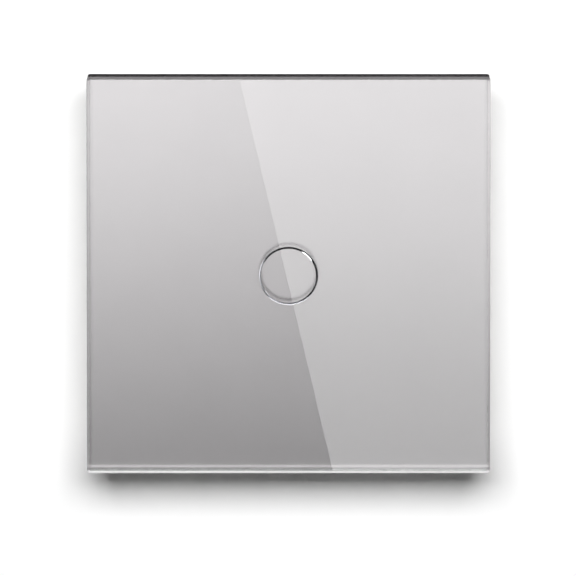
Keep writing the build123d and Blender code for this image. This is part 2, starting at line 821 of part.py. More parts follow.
with BuildPart() as relay_bobbin:
    for lift in (yoke_floor_top, bobbin_top - bobbin_flange):
        with BuildSketch(behind_board(lift)):
            with Locations((coil_x, relay_middle)):
                Rectangle(bobbin_flange_size, bobbin_flange_size)
        extrude(amount=-bobbin_flange)
    with BuildSketch(behind_board(yoke_floor_top)):
        with Locations((coil_x, relay_middle)):
            Circle(core_radius + running + bobbin_tube_wall)
    extrude(amount=-coil_height)
    with BuildSketch(behind_board(yoke_floor_top)):
        with Locations((coil_x, relay_middle)):
            Circle(core_radius + running)
    extrude(amount=-coil_height, mode=Mode.SUBTRACT)
save(relay_bobbin, "relay_bobbin")

with BuildPart() as relay_winding:
    with BuildSketch(behind_board(yoke_floor_top + bobbin_flange)):
        with Locations((coil_x, relay_middle)):
            Circle(winding_radius)
            Circle(core_radius + running + bobbin_tube_wall, mode=Mode.SUBTRACT)
    extrude(amount=-(coil_height - 2 * bobbin_flange))
save(relay_winding, "relay_winding")

with BuildPart() as relay_core:
    with BuildSketch(behind_board(yoke_floor_top)):
        with Locations((coil_x, relay_middle)):
            Circle(core_radius)
    extrude(amount=-(pole_bottom - yoke_floor_top))
    with BuildSketch(behind_board(pole_bottom)):
        with Locations((coil_x, relay_middle)):
            Circle(pole_radius)
    extrude(amount=-pole_thickness)
save(relay_core, "relay_core")

# Armature and the contact blade riveted to it: they tilt together about the top edge of the yoke
with BuildPart() as relay_armature:
    with BuildSketch(behind_board(armature_bottom)):
        with Locations((yoke_left, relay_middle)):
            Rectangle(coil_x + pole_radius - yoke_left, armature_width, align=(Align.MIN, Align.CENTER))
    extrude(amount=-armature_thickness)
save(relay_armature, "relay_armature")

with BuildPart() as contact_blade:
    with BuildSketch(behind_board(armature_top)):
        with Locations((coil_x, relay_middle)):
            Rectangle(contact_x + rivet_radius - coil_x, blade_width, align=(Align.MIN, Align.CENTER))
    extrude(amount=-blade_thickness)
    with BuildSketch(behind_board(armature_top - rivet_height)):
        with Locations((contact_x, relay_middle)):
            Circle(rivet_radius)
    extrude(amount=-(blade_thickness + 2 * rivet_height))
save(contact_blade, "contact_blade")

# Return spring: a leaf up the back of the yoke, bent over the tail of the armature
leaf_left = yoke_left - spring_leaf_thickness
with BuildPart() as return_spring:
    with BuildSketch(behind_board(base_top)):
        with Locations((leaf_left, relay_middle)):
            Rectangle(spring_leaf_thickness, spring_leaf_width, align=(Align.MIN, Align.CENTER))
    extrude(amount=-(leaf_lift + spring_leaf_thickness - base_top))
    with BuildSketch(behind_board(leaf_lift)):
        with Locations((leaf_left, relay_middle)):
            Rectangle(2 * yoke_thickness, spring_leaf_width, align=(Align.MIN, Align.CENTER))
    extrude(amount=-spring_leaf_thickness)
save(return_spring, "return_spring")

# Fixed contacts: one above the blade, closed at rest, and one below it, closed when the coil pulls
with BuildPart() as rest_contact:
    with BuildSketch(behind_board(base_top)):
        with Locations((strip_right, relay_middle)):
            Rectangle(contact_strip, contact_width, align=(Align.MAX, Align.CENTER))
    extrude(amount=-(rest_face + contact_strip - base_top))
    with BuildSketch(behind_board(rest_face)):
        with Locations((strip_right, relay_middle)):
            Rectangle(strip_right - contact_x + rivet_radius, contact_width, align=(Align.MAX, Align.CENTER))
    extrude(amount=-contact_strip)
save(rest_contact, "rest_contact")

with BuildPart() as work_contact:
    with BuildSketch(behind_board(base_top)):
        with Locations((work_strip_right, relay_middle)):
            Rectangle(contact_strip, contact_width, align=(Align.MAX, Align.CENTER))
    extrude(amount=-(work_face - base_top))
    with BuildSketch(behind_board(work_face - contact_strip)):
        with Locations((work_strip_right, relay_middle)):
            Rectangle(
                work_strip_right - contact_x + rivet_radius, contact_width, align=(Align.MAX, Align.CENTER)
            )
    extrude(amount=-contact_strip)
save(work_contact, "work_contact")

# Film capacitor to the right of the relay, on its two leads
film_x = relay_length / 2 + component_gap + film_cap_width / 2
lead_spacing = film_cap_length - 2 * film_cap_lead_inset
with BuildPart() as film_capacitor:
    with BuildSketch(behind_board(component_lift)):
        with Locations((film_x, relay_middle)):
            Rectangle(film_cap_width, film_cap_length)
    extrude(amount=-film_cap_height)
    chamfer(film_capacitor.edges().filter_by(Axis.Y), back_bevel)
    with BuildSketch(behind_board(0)):
        with Locations((film_x, relay_middle)):
            with GridLocations(0, lead_spacing, 1, 2):
                Rectangle(lead_width, lead_width)
    extrude(amount=-component_lift)
save(film_capacitor, "film_capacitor")

# Electrolytic capacitor to the left of the relay: a can with its crimp groove
can_x = -(relay_length / 2 + component_gap + electrolytic_radius)
can_right = can_x + electrolytic_radius
can_front = -power_board_back
can_back = can_front + electrolytic_height
groove_middle = can_front + electrolytic_groove_lift
with BuildPart() as electrolytic_capacitor:
    with BuildSketch(Plane.XY.offset(relay_middle)):
        with BuildLine():
            Polyline(
                (can_x, can_front),
                (can_right, can_front),
                (can_right, groove_middle - electrolytic_groove),
                (can_right - electrolytic_groove, groove_middle),
                (can_right, groove_middle + electrolytic_groove),
                (can_right, can_back),
                (can_x, can_back),
                close=True,
            )
        make_face()
    revolve(axis=Axis((can_x, 0, relay_middle), (0, 1, 0)))
    chamfer(electrolytic_capacitor.faces().sort_by(Axis.Y)[-1].edges(), back_bevel)
save(electrolytic_capacitor, "electrolytic_capacitor")

# Varistor: a coated disc standing on edge below the can
disc_row = relay_middle - electrolytic_radius - component_gap - varistor_radius
with BuildPart() as varistor:
    with BuildSketch(Plane.YZ.offset(can_x - varistor_thickness / 2)):
        with Locations((-(power_board_back - component_lift - varistor_radius), disc_row)):
            Circle(varistor_radius)
    extrude(amount=varistor_thickness)
    with BuildSketch(behind_board(0)):
        with Locations((can_x, disc_row)):
            with GridLocations(0, varistor_radius, 1, 2):
                Rectangle(lead_width, lead_width)
    extrude(amount=-(component_lift + varistor_radius))
save(varistor, "varistor")

# Filter choke above the relay: a ferrite drum with its winding round the waist
choke_x = -(choke_radius + component_gap / 2)
choke_row = relay_middle + relay_width / 2 + component_gap + choke_radius
with BuildPart() as filter_choke:
    with BuildSketch(behind_board(0)):
        with Locations((choke_x, choke_row)):
            Circle(choke_waist_radius)
    extrude(amount=-choke_height)
    for lift in (0, choke_height - choke_flange):
        with BuildSketch(behind_board(lift)):
            with Locations((choke_x, choke_row)):
                Circle(choke_radius)
        extrude(amount=-choke_flange)
save(filter_choke, "filter_choke")

with BuildPart() as choke_winding:
    with BuildSketch(behind_board(choke_flange)):
        with Locations((choke_x, choke_row)):
            Circle((choke_radius + choke_waist_radius) / 2)
            Circle(choke_waist_radius, mode=Mode.SUBTRACT)
    extrude(amount=-(choke_height - 2 * choke_flange))
save(choke_winding, "choke_winding")

# Fusible resistor beside the choke, and the bridge rectifier above it
fuse_x = (component_gap + fuse_length) / 2
fuse_row = relay_middle + relay_width / 2 + component_gap + fuse_radius
with BuildPart() as fusible_resistor:
    with BuildSketch(Plane.YZ.offset(fuse_x - fuse_length / 2)):
        with Locations((-(power_board_back - component_lift - fuse_radius), fuse_row)):
            Circle(fuse_radius)
    extrude(amount=fuse_length)
    with BuildSketch(behind_board(0)):
        with Locations((fuse_x, fuse_row)):
            with GridLocations(fuse_length / 2, 0, 2, 1):
                Rectangle(lead_width, lead_width)
    extrude(amount=-(component_lift + fuse_radius))
save(fusible_resistor, "fusible_resistor")

rectifier_row = fuse_row + fuse_radius + component_gap + rectifier_width / 2
with BuildPart() as bridge_rectifier:
    with BuildSketch(behind_board(0)):
        with Locations((fuse_x, rectifier_row)):
            Rectangle(rectifier_length, rectifier_width)
    extrude(amount=-rectifier_height)
    chamfer(bridge_rectifier.faces().sort_by(Axis.Y)[-1].edges(), back_bevel)
save(bridge_rectifier, "bridge_rectifier")
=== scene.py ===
import json
import math
import bpy
import numpy as np
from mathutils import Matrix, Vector


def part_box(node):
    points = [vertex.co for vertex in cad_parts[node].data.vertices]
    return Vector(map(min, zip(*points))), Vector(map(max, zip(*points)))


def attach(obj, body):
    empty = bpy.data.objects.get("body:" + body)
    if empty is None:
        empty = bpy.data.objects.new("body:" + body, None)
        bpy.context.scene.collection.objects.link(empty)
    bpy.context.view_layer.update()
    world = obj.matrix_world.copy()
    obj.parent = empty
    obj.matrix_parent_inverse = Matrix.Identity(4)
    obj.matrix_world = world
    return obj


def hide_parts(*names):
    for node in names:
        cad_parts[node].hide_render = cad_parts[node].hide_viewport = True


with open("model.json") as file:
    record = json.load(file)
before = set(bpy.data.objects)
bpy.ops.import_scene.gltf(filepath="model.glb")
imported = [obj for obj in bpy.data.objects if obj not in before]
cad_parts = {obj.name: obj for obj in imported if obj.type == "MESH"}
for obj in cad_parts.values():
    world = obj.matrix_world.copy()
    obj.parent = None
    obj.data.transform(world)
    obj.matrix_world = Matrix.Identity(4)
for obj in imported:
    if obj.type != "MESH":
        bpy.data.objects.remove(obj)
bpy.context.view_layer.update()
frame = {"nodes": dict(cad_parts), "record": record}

mm = 0.001  # every length in the settings below is in millimetres


# sRGB hex to the linear values that Blender's sockets hold
def hexToLinear(code):
    parts = [int(code[i:i + 2], 16) / 255 for i in (1, 3, 5)]
    return [p / 12.92 if p <= 0.04045 else ((p + 0.055) / 1.055) ** 2.4 for p in parts] + [1.0]


# adds one node, sets its properties and input values, and links what comes in
def addNode(tree, kind, inputs=None, **settings):
    node = tree.nodes.new(kind)
    for name, value in settings.items():
        setattr(node, name, value)
    for name, value in (inputs or {}).items():
        if isinstance(value, bpy.types.NodeSocket):
            tree.links.new(value, node.inputs[name])
        else:
            node.inputs[name].default_value = value
    return node


# a material with its shader wired to the output, and the Object coordinates that every pattern reads
def startMaterial(name, **values):
    material = bpy.data.materials.new(name)
    material.use_nodes = True
    tree = material.node_tree
    tree.nodes.clear()
    shader = addNode(tree, "ShaderNodeBsdfPrincipled", {k.replace("_", " "): v for k, v in values.items()})
    addNode(tree, "ShaderNodeOutputMaterial", {"Surface": shader.outputs[0]})
    place = addNode(tree, "ShaderNodeTexCoord").outputs["Object"]
    return material, tree, shader, place


# lets what lies behind a material show, wherever the factor is 1
def seeThrough(shader, factor, tint):
    tree = shader.id_data
    clear = addNode(tree, "ShaderNodeBsdfTransparent", {"Color": hexToLinear(tint)})
    mix = addNode(tree, "ShaderNodeMixShader", {0: factor, 1: shader.outputs[0], 2: clear.outputs[0]})
    output = next(node for node in tree.nodes if node.type == "OUTPUT_MATERIAL")
    tree.links.new(mix.outputs[0], output.inputs["Surface"])


# Finishes a surface from its patterns. Tone is a pattern and the shares of the colour's brightness at its
# two ends, gloss is a pattern and the roughness at its ends, and height is a pattern and its depth in
# millimetres. A pattern's ends are 0 and 1, but for a tone that is given others. The colour is a hex code
# or a socket.
def dress(shader, colour, tone, gloss=None, height=None, toneEnds=(0.0, 1.0)):
    tree = shader.id_data
    if isinstance(colour, str):
        colour = hexToLinear(colour)
    share = addNode(tree, "ShaderNodeMapRange", {
        "Value": tone[0], "From Min": toneEnds[0], "From Max": toneEnds[1],
        "To Min": tone[1], "To Max": tone[2]})
    painted = addNode(tree, "ShaderNodeHueSaturation", {"Color": colour, "Value": share.outputs[0]})
    tree.links.new(painted.outputs[0], shader.inputs["Base Color"])
    if gloss:
        rough = addNode(tree, "ShaderNodeMapRange", {
            "Value": gloss[0], "To Min": gloss[1], "To Max": gloss[2]})
        tree.links.new(rough.outputs[0], shader.inputs["Roughness"])
    if height:
        bump = addNode(tree, "ShaderNodeBump", {"Height": height[0], "Distance": height[1] * mm})
        tree.links.new(bump.outputs[0], shader.inputs["Normal"])


# puts arrays of points and faces into a mesh object; faces may be quads and longer rings
def makePiece(name, points, faces, body, sharpAngle=24):
    mesh = bpy.data.meshes.new(name)
    mesh.from_pydata(points.tolist(), [], faces)
    mesh.validate()
    piece = bpy.data.objects.new(name, mesh)
    bpy.context.scene.collection.objects.link(piece)
    mesh.polygons.foreach_set("use_smooth", np.ones(len(mesh.polygons), bool))
    mesh.set_sharp_from_angle(angle=math.radians(sharpAngle))
    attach(piece, body)
    return piece


# A rounded square as one closed path: arcs at the four corners joined by straight runs. Each arc point is
# the corner's centre plus the radius times (cos, sin) of an angle. Returned as the corner centres, one per
# point, and the outward directions, so that an inset only changes the radius.
def roundedSquarePath(half, radius, arcSteps, runSteps):
    angle = np.linspace(0, math.pi / 2, arcSteps + 1)
    share = np.arange(1, runSteps)[:, None] / runSteps
    corner = np.array([half - radius, half - radius])
    centres, directions = [], []
    for quarter in range(4):
        turned = angle + quarter * math.pi / 2
        nextCorner = np.array([-corner[1], corner[0]])
        out = np.stack([np.cos(turned), np.sin(turned)], 1)
        centres += [np.repeat(corner[None], arcSteps + 1, 0), corner + share * (nextCorner - corner)]
        directions += [out, np.repeat(out[-1:], runSteps - 1, 0)]
        corner = nextCorner
    return np.concatenate(centres), np.concatenate(directions)


# quads between the rows of a grid that closes on itself across each row
def ringQuads(rows, count):
    row, col = np.meshgrid(np.arange(rows - 1), np.arange(count), indexing="ij")
    here, beside = row * count + col, row * count + (col + 1) % count
    return np.stack([here, here + count, beside + count, beside], -1).reshape(-1, 4).tolist()


# The glass panel, the polished plate that the photograph shows
glassPanel = {
    "bevel": 0.5,          # width of the polished front chamfer
    "backBevel": 0.3,
    "edgeRound": 0.07,     # the polish leaves each edge slightly round
    "cornerRadius": 0.8,
    "ringDiameter": 11.3,  # the ground touch ring
    "ringWidth": 0.4,
    "ringTilt": 40.0,      # slope of the ring's wall in degrees, down and outwards to a steep rim
    "ringRim": 0.01,       # how far the rim leans out
    "printMargin": 0.12,   # the print reaches over the back bevel to this distance from the panel's side
    "hold": 0.03,          # rows this close to a bend keep the flat faces flat
    "backLift": 0.01,      # keeps the printed face of the glass just off the print's own solid
    "cornerSteps": 8,
    "runSteps": 14,
    "roundSteps": 4,
}


# The panel is one profile carried round its centre, each row at one depth behind the front. Inside, the
# rows are circles: the flat spot, the cut ring, then the flat face. Outside, they are the rounded square
# inset by a length. At each bend of the front chamfer the profile goes from one straight part to the next
# along a parabola, and the back chamfer is one straight cut. Two flat faces close the front and the back.
def glassSurface(thickness, half, s):
    centres, directions = roundedSquarePath(half, s["cornerRadius"], s["cornerSteps"], s["runSteps"])
    outline = centres + directions * s["cornerRadius"]
    angle = np.arctan2(outline[:, 1], outline[:, 0])
    circle = np.stack([np.cos(angle), np.sin(angle)], 1)
    inner = (s["ringDiameter"] - s["ringWidth"]) / 2
    outer = (s["ringDiameter"] + s["ringWidth"]) / 2
    rim = outer + s["ringRim"]
    cut = s["ringWidth"] * math.tan(math.radians(s["ringTilt"]))
    circles = ((inner - s["hold"], 0), (inner, 0), (outer, cut), (rim, 0), (rim + s["hold"], 0))
    rows = [(circle * radius, depth) for radius, depth in circles]

    slant = math.sqrt(0.5)
    profile = []
    for bend, before, after in (
        ((s["bevel"], 0), (1, 0), (-slant, slant)),
        ((0, s["bevel"]), (slant, -slant), (0, 1)),
    ):
        bend, before, after = np.array(bend), np.array(before), np.array(after)
        start, end = bend + s["edgeRound"] * before, bend + s["edgeRound"] * after
        profile.append(start + s["hold"] * before)
        for t in np.linspace(0, 1, s["roundSteps"] + 1):
            profile.append((1 - t) ** 2 * start + 2 * t * (1 - t) * bend + t ** 2 * end)
        profile.append(end + s["hold"] * after)
    back = thickness - s["backLift"]
    profile += [(0, back - s["backBevel"]), (s["backBevel"], back), (s["printMargin"], back)]
    rows += [(centres + directions * (s["cornerRadius"] - inset), depth) for inset, depth in profile]

    count = len(angle)
    points = [np.column_stack([xz[:, 0], np.full(count, depth), xz[:, 1]]) for xz, depth in rows]
    faces = ringQuads(len(rows), count)
    faces.append(list(range(count)))
    faces.append(list(range((len(rows) - 1) * count, len(rows) * count))[::-1])
    return np.concatenate(points), faces, count


low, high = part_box("glass_panel")
panelHalf = high.x / mm
frontFace = low.y / mm
points, faces, aroundPath = glassSurface((high.y - low.y) / mm, panelHalf, glassPanel)
points[:, 1] += frontFace
panel = makePiece("glassPanel", points * mm, faces, "front_panel")
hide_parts("glass_panel")
print("glass panel made:", len(points), "points")

glassFinish = {
    "tint": "#f3f8f5",       # clear soda-lime glass, faintly green
    "ior": 1.52,
}


# tempered glass, cut, ground and polished: clear and mirror-smooth, so all the look is in its edges
def polishedGlass(s):
    material, tree, shader = startMaterial(
        "temperedGlass", Base_Color=hexToLinear(s["tint"]), Roughness=0.0, IOR=s["ior"],
        Transmission_Weight=1.0)[:3]
    # only what is seen through the glass gets light straight through it, so the panel still throws its
    # shadow
    path = addNode(tree, "ShaderNodeLightPath").outputs
    inside = addNode(tree, "ShaderNodeMath", {
        0: path["Transmission Depth"], 1: path["Is Shadow Ray"]}, operation="MULTIPLY")
    lit = addNode(tree, "ShaderNodeMath", {0: inside.outputs[0], 1: 0.5}, operation="GREATER_THAN")
    seeThrough(shader, lit.outputs[0], s["tint"])
    return material


printFinish = {
    "colour": "#e0d9dd",     # silver ink, screen printed and fired on the glass
    "roughness": 0.2,
    "flake": 0.2,            # real flake is about 0.02 mm, drawn coarser so that it shows
    "flakeTone": 0.06,
    "mottle": 14.0,          # slow change of tone across the print
    "mottleTone": 0.05,
    "edgeShadeWidth": 1.5,      # painted shade: the print darkens over this width towards its left and right sides, down to the share below, as shade near the panel's edges
    "edgeShadeTone": 0.84,
}


# silver screen ink with metal flake: a broad soft sheen with a fine grain in it, and painted shade that
# darkens it towards its left and right sides
def metallicInk(s, half):
    material, tree, shader, place = startMaterial("silverInk", Metallic=1.0, Roughness=s["roughness"])
    flake = addNode(tree, "ShaderNodeTexNoise", {
        "Vector": place, "Scale": 1000 / s["flake"], "Detail": 2.0})
    slow = addNode(tree, "ShaderNodeTexNoise", {
        "Vector": place, "Scale": 1000 / s["mottle"], "Detail": 3.0})
    tone = addNode(tree, "ShaderNodeMath", {
        0: flake.outputs[0], 1: s["flakeTone"], 2: 1 - (s["flakeTone"] + s["mottleTone"]) / 2},
        operation="MULTIPLY_ADD")
    both = addNode(tree, "ShaderNodeMath", {
        0: slow.outputs[0], 1: s["mottleTone"], 2: tone.outputs[0]}, operation="MULTIPLY_ADD")
    # painted shade: the ink darkens towards its left and right sides, as shade near the panel's edges
    side = addNode(tree, "ShaderNodeMath", {
        0: addNode(tree, "ShaderNodeSeparateXYZ", {0: place}).outputs["X"]}, operation="ABSOLUTE")
    edgeShade = addNode(tree, "ShaderNodeMapRange", {
        "Value": side.outputs[0], "From Min": (half - s["edgeShadeWidth"]) * mm, "From Max": half * mm,
        "To Min": 1.0, "To Max": s["edgeShadeTone"]})
    value = addNode(tree, "ShaderNodeMath", {
        0: both.outputs[0], 1: edgeShade.outputs[0]}, operation="MULTIPLY")
    colour = addNode(tree, "ShaderNodeHueSaturation", {
        "Color": hexToLinear(s["colour"]), "Value": value.outputs[0]})
    tree.links.new(colour.outputs[0], shader.inputs["Base Color"])
    return material


# bright chrome paint in the cut ring: mirror-like, so it reads as a hard line with bright and dark arcs
def chromeLine():
    return startMaterial("chromeLine", Base_Color=hexToLinear("#d2d2d4"), Metallic=1.0, Roughness=0.13)[0]


ink = metallicInk(printFinish, panelHalf)
for finish in (polishedGlass(glassFinish), ink, chromeLine()):
    panel.data.materials.append(finish)
# the last face is the printed back, and the ring's wall and rim are the second and third bands of quads
panel.data.polygons[-1].material_index = 1
for index in range(aroundPath, 3 * aroundPath):
    panel.data.polygons[index].material_index = 2
print("glass panel finished in", len(panel.data.materials), "materials")

# Moulded plastics. Grain is the width and depth in millimetres of the texture that the mould's skin leaves.
mouldings = {
    "carrier_plastic": {
        "name": "absCarrier", "colour": "#e9e8e4", "roughness": 0.42, "grain": (0.3, 0.01)},
    "frame_plastic": {
        "name": "absFrame", "colour": "#efeeea", "roughness": 0.38, "grain": (0.3, 0.012)},
    "cover_plastic": {
        "name": "absCover", "colour": "#ecebe7", "roughness": 0.45, "grain": (0.35, 0.012)},
    "cup_plastic": {
        "name": "glassFilledNylon", "colour": "#232325", "roughness": 0.52, "grain": (0.5, 0.03)},
    "terminal_plastic": {
        "name": "nylonTerminal", "colour": "#c9cccf", "roughness": 0.4, "grain": (0.4, 0.015)},
    "connector_plastic": {
        "name": "pbtConnector", "colour": "#171718", "roughness": 0.4, "grain": (0.25, 0.01)},
    "relay_plastic": {
        "name": "pbtRelayBase", "colour": "#1e1e21", "roughness": 0.45, "grain": (0.3, 0.012)},
    "relay_shell": {
        "name": "pbtRelayCase", "colour": "#173f7c", "roughness": 0.22, "grain": (0.6, 0.006)},
    "capacitor_box": {
        "name": "pbtCapacitorBox", "colour": "#c49c1d", "roughness": 0.28, "grain": (0.6, 0.008)},
}
mouldedSkin = {
    "ior": 1.54,
    "flow": 12.0,            # width of the slow change where the melt has flowed
    "tone": (0.95, 1.05),    # the least and the most brightness, as shares of the colour's own
    "glossSpread": 0.06,     # how far the roughness varies either way
}


# moulded plastic: an even skin with a fine grain, and a slow change of tone and gloss where the melt has
# flowed
def mouldedPlastic(s):
    material, tree, shader, place = startMaterial(s["name"], IOR=mouldedSkin["ior"])
    width, depth = s["grain"]
    rough, spread = s["roughness"], mouldedSkin["glossSpread"]
    flow = addNode(tree, "ShaderNodeTexNoise", {
        "Vector": place, "Scale": 1000 / mouldedSkin["flow"], "Detail": 3.0}).outputs[0]
    grain = addNode(tree, "ShaderNodeTexNoise", {
        "Vector": place, "Scale": 1000 / width, "Detail": 2.0}).outputs[0]
    dress(shader, s["colour"], (flow, *mouldedSkin["tone"]), (flow, rough - spread, rough + spread),
          (grain, depth))
    return material


# Rolled and drawn metals. Lines gives the spacing of the roll marks along x, y and z, a long one being
# their run; real marks are about 0.03 mm apart and are drawn wider, so that they show.
strips = {
    "soft_iron": {
        "name": "zincPlatedIron", "colour": "#a3a6aa", "roughness": 0.4, "lines": (0.15, 8, 0.15)},
    "contact_alloy": {
        "name": "copperNickelStrip", "colour": "#d09a72", "roughness": 0.28, "lines": (0.12, 5, 0.12)},
    "clamp_steel": {
        "name": "zincPlatedCage", "colour": "#b4b6b9", "roughness": 0.34, "lines": (6, 0.15, 0.15)},
    "brass_strip": {
        "name": "rolledBrass", "colour": "#d1ae62", "roughness": 0.27, "lines": (0.12, 6, 0.12)},
    "spring_wire": {
        "name": "goldPlatedWire", "colour": "#e2c06a", "roughness": 0.24, "lines": (0.2, 0.2, 0.2)},
    "screw_steel": {
        "name": "bluedZincScrew", "colour": "#c3c6c9", "roughness": 0.26, "lines": (0.3, 0.3, 0.3)},
}
plating = {
    "cloud": 2.5,            # width of the faint cloud in the plating
    "tone": (0.86, 1.1),
    "glossSpread": (-0.1, 0.14),
    "marksDepth": 0.008,
}


# rolled metal: straight fine marks that draw the highlights out, under a plating with a faint cloud
def rolledMetal(s):
    material, tree, shader, place = startMaterial(s["name"], Metallic=1.0)
    smooth, rough = [s["roughness"] + spread for spread in plating["glossSpread"]]
    stretched = addNode(tree, "ShaderNodeMapping", {
        "Vector": place, "Scale": tuple(1000 / spacing for spacing in s["lines"])}).outputs[0]
    marks = addNode(tree, "ShaderNodeTexNoise", {
        "Vector": stretched, "Scale": 1.0, "Detail": 2.0}).outputs[0]
    cloud = addNode(tree, "ShaderNodeTexNoise", {
        "Vector": place, "Scale": 1000 / plating["cloud"], "Detail": 3.0}).outputs[0]
    dress(shader, s["colour"], (cloud, *plating["tone"]), (marks, smooth, rough),
          (marks, plating["marksDepth"]))
    return material


zincSheet = {
    "colour": "#bcc1c6",
    "spangle": 3.5,          # width of a crystal of zinc
    "raggedWidth": 1.5,      # the unevenness that bends the crystals' edges, and how far it bends them
    "raggedBend": 1.2,
    "marksApart": 0.2,
    "marksRun": 12.0,
    "marksDepth": 0.006,
    "tone": (0.86, 1.04),
    "roughness": (0.27, 0.46),
}


# hot-dip galvanised sheet: crystals of zinc, each with its own tone and gloss, crossed by fine roll marks
def galvanisedSheet(s):
    material, tree, shader, place = startMaterial("galvanisedSheet", Metallic=1.0)
    uneven = addNode(tree, "ShaderNodeTexNoise", {
        "Vector": place, "Scale": 1000 / s["raggedWidth"], "Detail": 2.0})
    bent = addNode(tree, "ShaderNodeVectorMath", {
        0: uneven.outputs[1], 1: [s["raggedBend"] * mm] * 3}, operation="MULTIPLY")
    spot = addNode(tree, "ShaderNodeVectorMath", {0: place, 1: bent.outputs[0]})
    crystal = addNode(tree, "ShaderNodeTexVoronoi", {
        "Vector": spot.outputs[0], "Scale": 1000 / s["spangle"]})
    draw = addNode(tree, "ShaderNodeSeparateColor", {0: crystal.outputs["Color"]}).outputs
    apart, run = 1000 / s["marksApart"], 1000 / s["marksRun"]
    stretched = addNode(tree, "ShaderNodeMapping", {"Vector": place, "Scale": (apart, apart, run)})
    marks = addNode(tree, "ShaderNodeTexNoise", {"Vector": stretched.outputs[0], "Scale": 1.0}).outputs[0]
    dress(shader, s["colour"], (draw[0], *s["tone"]), (draw[1], *s["roughness"]), (marks, s["marksDepth"]))
    return material


foam = {
    "colour": "#161617",
    "cell": 0.25,            # width of an open cell, and its depth
    "cellDepth": 0.05,
    "tone": (0.7, 1.25),
    "pitShadeSpan": (0.0, 0.6),  # painted shade: the tone runs from dark at a cell's sunk middle to this distance in cells
    "roughness": 0.82,
    "ior": 1.47,
}


# acrylic foam tape: black, dull, with the small open cells of its cut edge, each cell's sunk middle painted
# darker as shade in the pit
def foamTape(s):
    material, tree, shader, place = startMaterial("acrylicFoamTape", Roughness=s["roughness"], IOR=s["ior"])
    cell = addNode(tree, "ShaderNodeTexVoronoi", {"Vector": place, "Scale": 1000 / s["cell"]}).outputs[0]
    # painted shade: each cell is darker at its sunk middle, where its bump is lowest
    dress(shader, s["colour"], (cell, *s["tone"]), None, (cell, s["cellDepth"]), s["pitShadeSpan"])
    return material


opal = {
    "colour": "#f0f1ee",
    "roughness": 0.3,
    "ior": 1.49,
    "clear": 0.35,           # share of the light that goes straight through
    "milky": 0.3,            # share that comes back out of the plastic, and from how deep
    "milkyDepth": 1.5,
    "ripple": 1.2,
    "rippleDepth": 0.01,
    "tone": (0.95, 1.03),
}


# opal acrylic: light goes in and comes back milky, and the moulded skin is smooth with faint ripples
def opalAcrylic(s):
    material, tree, shader, place = startMaterial(
        "opalAcrylic", IOR=s["ior"], Roughness=s["roughness"], Transmission_Weight=s["clear"],
        Subsurface_Weight=s["milky"], Subsurface_Scale=s["milkyDepth"] * mm)
    ripple = addNode(tree, "ShaderNodeTexNoise", {
        "Vector": place, "Scale": 1000 / s["ripple"], "Detail": 2.0}).outputs[0]
    dress(shader, s["colour"], (ripple, *s["tone"]), None, (ripple, s["rippleDepth"]))
    return material


boardFinish = {
    "mask": "#0b4a26",        # green solder mask over bare laminate
    "overCopper": "#1c7040",  # the same mask where a track lies under it
    "tin": "#c9cccf",
    "edge": "#9a9a66",        # cut glass-fibre laminate
    "ior": 1.5,
    "trackPitch": 1.27,
    "trackWidth": 0.5,
    "trackSoft": 0.03,        # the mask rounds a track's side over this width either way
    "trackShare": 0.75,       # share of the patches that have tracks
    "patch": 9.0,             # how far the tracks run before they turn
    "padPitch": 2.54,
    "padRadius": 0.55,
    "padShare": 0.22,         # share of the grid's places that have a pad
    "copper": 0.035,          # how far copper and tin stand up
    "weave": 0.6,
    "roughness": (0.2, 0.36),
}


